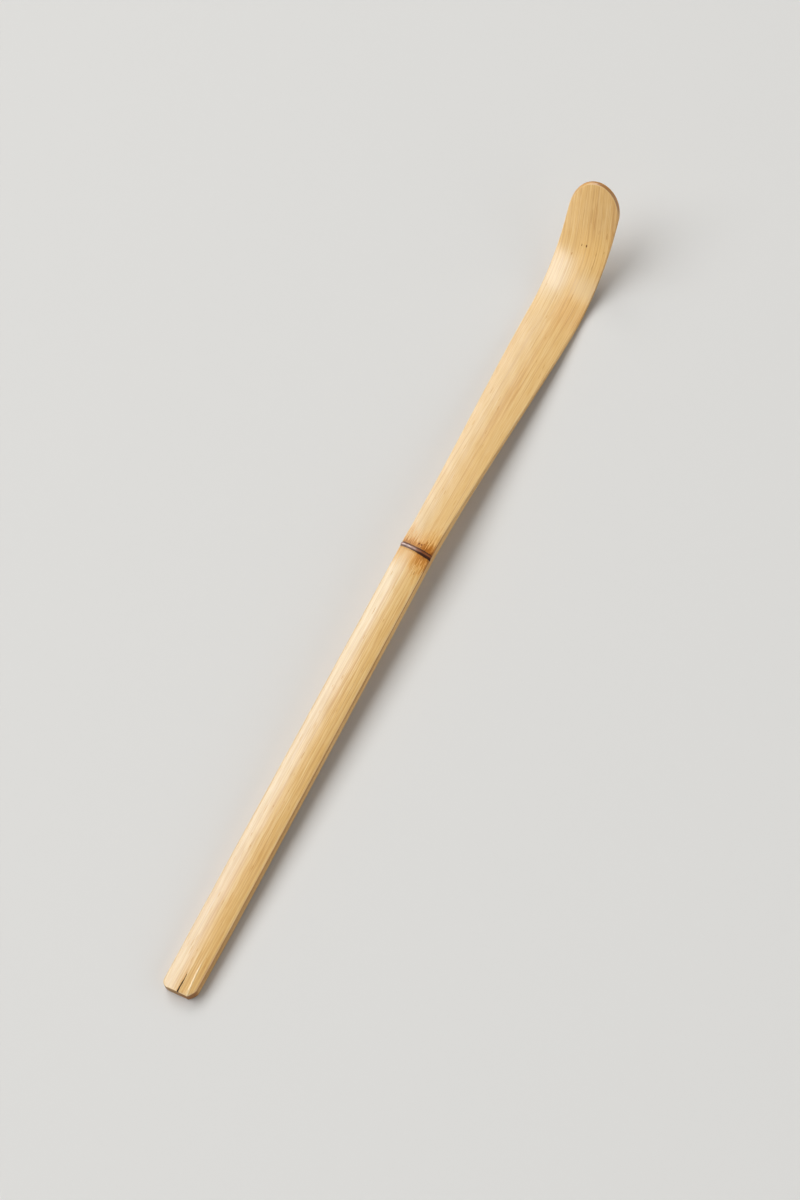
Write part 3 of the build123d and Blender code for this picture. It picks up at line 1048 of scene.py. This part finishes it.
# %% Tree that sets a lens on every point
fleck_tree, given = new_tree("Fleck lenses", "Geometry", [
    ("Geometry", "Geometry"), ("Segments", "Int", 10), ("Rings", "Int", 5), ("Finish", "Material"),
], ["Geometry"])
points = put("GeometryNodeMeshToPoints", {"Mesh": given["Geometry"]})[0]
wanted = {"Segments": given["Segments"], "Rings": given["Rings"], "Radius": 1.0}
lens = put("GeometryNodeMeshUVSphere", wanted)["Mesh"]
lens_height = xyz(put("GeometryNodeInputPosition", tree=fleck_tree)[0])["Z"]
lens = noted_value(lens, "middle", lens_height, "FLOAT")
laid = put("GeometryNodeInstanceOnPoints", {
    "Points": points, "Instance": lens, "Rotation": named_value(fleck_tree, "turn", "FLOAT_VECTOR"),
    "Scale": named_value(fleck_tree, "size", "FLOAT_VECTOR"),
})[0]
end_tree(laid, given["Finish"])

# %% Place along and across, length, width and tone of the flecks
fleck_sink = 0.006
fleck_bulge = 0.012
placed_flecks = [
    (169.86, -0.64, 0.62, 0.28, 1.0), (169.77, 0.31, 0.6, 0.2, 0.6), (167.54, 1.63, 0.7, 0.26, 0.45),
    (168.88, -2.92, 0.8, 0.2, 0.35), (169.73, -4.24, 0.6, 0.2, 0.35), (173.1, -3.85, 1.9, 0.17, 0.5),
    (180.2, 0.62, 3.6, 0.15, 0.3), (176.4, -0.04, 5.2, 0.16, 0.35), (174.6, -1.0, 3.4, 0.15, 0.3),
    (178.0, -0.5, 4.4, 0.14, 0.3), (94.41, 0.02, 0.62, 0.3, 1.0), (94.36, -0.5, 0.44, 0.36, 0.9),
    (94.6, -0.9, 0.44, 0.16, 0.8), (95.2, -1.3, 0.7, 0.14, 0.7), (88.6, -1.7, 1.0, 0.18, 0.6),
]
sprinkle = np.random.default_rng(11)
faint_count = 90
faint_ranges = [(3.0, tip_round_start), (-0.85, 0.85), (0.5, 2.2), (0.07, 0.12), (0.15, 0.5)]
faint_flecks = np.column_stack([sprinkle.uniform(*limits, faint_count) for limits in faint_ranges])
faint_flecks[:, 1] *= half_width(faint_flecks[:, 0])
flecks = np.concatenate([np.array(placed_flecks), faint_flecks])
flecks = flecks[np.abs(flecks[:, 0] - (node_place + scar_end) / 2) > 0.7 + flecks[:, 2] / 2]
fleck_edge = edge_distance(flecks[:, :1], flecks[:, 1:2])[:, 0]
fleck_height = rind_height(flecks[:, 0], flecks[:, 1], fleck_edge)
fleck_turn = 0.8 * run_out * ease((flecks[:, 0] - run_out_start) / 8.0)
fleck_mesh = bpy.data.meshes.new("fleck_points")
fleck_mesh.from_pydata((np.column_stack([flecks[:, :2], fleck_height - fleck_sink]) * MM).tolist(), [], [])
nothing = np.zeros(len(flecks))
fleck_values = {
    "size": np.column_stack([flecks[:, 2] / 2, flecks[:, 3] / 2, nothing + fleck_bulge]) * MM,
    "turn": np.column_stack([nothing, nothing, fleck_turn]),
}
for label, values in fleck_values.items():
    fleck_mesh.attributes.new(label, "FLOAT_VECTOR", "POINT").data.foreach_set("vector", values.ravel())
fleck_mesh.attributes.new("tone", "FLOAT", "POINT").data.foreach_set("value", flecks[:, 4])
fleck_points = add_object("fleck_points", fleck_mesh)
print(len(flecks), "flecks")

# %% Lay the lenses and bend them with the strip
laid_flecks = run_tree(fleck_points, fleck_tree, "flecks_flat", {"Segments": 10, "Rings": 6, "Finish": fleck})
rind_flecks = bend(laid_flecks, "rind_flecks", fleck)

# %% [markdown]
# ## Which body and which node each piece stands for
# The scoop is one rigid body, so every piece rides on "root". Each one replaces the plain solid of its own
# layer; the table lists that node and the slot of its finish beside the piece.

# %% Ride and replace
layers = [
    (handle_skin, "lower_rind", "rind"), (head_skin, "upper_rind", "rind"),
    (node_skin, "node_ridge", "stained_node"), (scar_ring, "sheath_scar", "scar"),
    (walls["handle_wall"], "handle", "culm_wall"), (walls["node_wall"], "node_core", "culm_wall"),
    (walls["stem_wall"], "upper_stem", "culm_wall"), (walls["head_wall"], "scoop_head", "culm_wall"),
    (septum_rib, "septum_stub", "septum"),
]
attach(rind_flecks, "root")
bpy.data.objects.remove(crown_line)
for piece, node, slot in layers:
    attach(piece, "root")
    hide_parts(node)
print(len(layers) + 1, "pieces ride on root")

# %% [markdown]
# ## Floor, light and camera
# The scoop lies on a plain pale sheet. A large softbox stands to its left and behind the handle, and casts the
# shadow. A smaller one beyond the tip gives the handle and the stem their long highlight, and a weak reflector
# on the right lifts the shaded side. With an even sky they add up to a level at which colours render as they
# are written. Far away the sheet and the sky fade to one pale tone, which only seen rays meet, so it lights
# nothing. The camera looks down along the handle at sixty degrees with a long lens.

# %% Floor
pale = srgb(225, 224, 221)
floor_size = 40.0


def backdrop_rays(tree):
    """1 for the rays that see the backdrop: from the camera, off a gloss or through glass."""
    path = put("ShaderNodeLightPath", tree=tree)
    seen = math_node("MAXIMUM", path["Is Camera Ray"], path["Is Glossy Ray"])
    return math_node("MAXIMUM", seen, path["Is Transmission Ray"])


floor_mesh = bpy.data.meshes.new("floor")
half = floor_size / 2
corners = [(-half, -half, 0), (half, -half, 0), (half, half, 0), (-half, half, 0)]
floor_mesh.from_pydata(corners, [], [(0, 1, 2, 3)])
floor = add_object("floor", floor_mesh)
paper = bpy.data.materials.new("pale_paper")
paper.use_nodes = True
tree = paper.node_tree
sheet = tree.nodes["Principled BSDF"]
sheet.inputs["Base Color"].default_value = pale
sheet.inputs["Roughness"].default_value = 0.9
sheet.inputs["Specular IOR Level"].default_value = 0.1
middle = put("ShaderNodeTexCoord", tree=tree)["Object"]
away = put("ShaderNodeVectorMath", {0: middle}, operation="LENGTH")["Value"]
distant = times(fade(away, 0.22, 0.9), backdrop_rays(tree))
haze = put("ShaderNodeEmission", {"Color": pale}, tree=tree)[0]
blend = put("ShaderNodeMixShader", {0: distant, 1: sheet.outputs[0], 2: haze})[0]
tree.links.new(blend, tree.nodes["Material Output"].inputs["Surface"])
floor_mesh.materials.append(paper)
print("floor", floor_size, "m")

# %% Lamps and sky
key_share = 0.505
second_share = 0.224
fill_share = 0.08
sky_share = 0.19
lamp_distance = 3.0
softbox_height = math.radians(55.0)
reflector_height = math.radians(24.0)


def strip_lamp(name, side, height, start, end, width, share):
    """A long softbox beside the scoop, that gives a share of the floor's light."""
    places = np.linspace(start, end, 81)
    gain = np.mean(lamp_distance**2 * math.sin(height) / (lamp_distance**2 + places**2) ** 2)
    data = bpy.data.lights.new(name, "AREA")
    data.shape = "RECTANGLE"
    data.size, data.size_y = end - start, width
    data.energy = math.pi**2 * share / gain
    lamp = add_object(name, data)
    aside, above = lamp_distance * math.cos(height), lamp_distance * math.sin(height)
    lamp.location = ((start + end) / 2, side * aside, above)
    lamp.rotation_euler = (side * (height - math.pi / 2), 0.0, 0.0)
    print(name, round(data.energy, 1), "W")


strip_lamp("softbox", 1.0, softbox_height, -2.7, 0.35, 2.3, key_share)
strip_lamp("second_softbox", 1.0, softbox_height, 0.5, 2.55, 1.7, second_share)
strip_lamp("reflector", -1.0, reflector_height, -2.0, 2.0, 2.2, fill_share)

world = bpy.data.worlds.new("even_sky")
world.use_nodes = True
bpy.context.scene.world = world
tree = world.node_tree
direction = put("ShaderNodeTexCoord", tree=tree)["Generated"]
low = times(fade(xyz(direction)["Z"], 0.3, 0.1), backdrop_rays(tree))
sky = mix(low, (sky_share, sky_share, sky_share, 1.0), pale)
tree.links.new(sky, tree.nodes["Background"].inputs["Color"])
print("sky at", sky_share)

# %% Camera
view_azimuth = math.radians(64.363)
view_elevation = math.radians(60.0)
view_angle = math.radians(24.0)
view_distance = 512.16 * MM
film_height = 36.0
view_target = Vector((cad_low.x + 85.6 * MM, -0.34 * MM, 0.0))
look = Vector((
    math.sin(view_azimuth) * math.cos(view_elevation),
    math.cos(view_azimuth) * math.cos(view_elevation),
    -math.sin(view_elevation),
))
camera_data = bpy.data.cameras.new("camera")
camera_data.sensor_fit = "VERTICAL"
camera_data.sensor_height = film_height
camera_data.lens = film_height / 2 / math.tan(view_angle / 2)
camera_data.clip_start = 0.01
camera = add_object("camera", camera_data)
camera.location = view_target - look * view_distance
camera.rotation_euler = look.to_track_quat("-Z", "Y").to_euler()
bpy.context.scene.camera = camera
bpy.context.scene.view_settings.view_transform = "Standard"
print("camera", [round(v, 3) for v in camera.location])
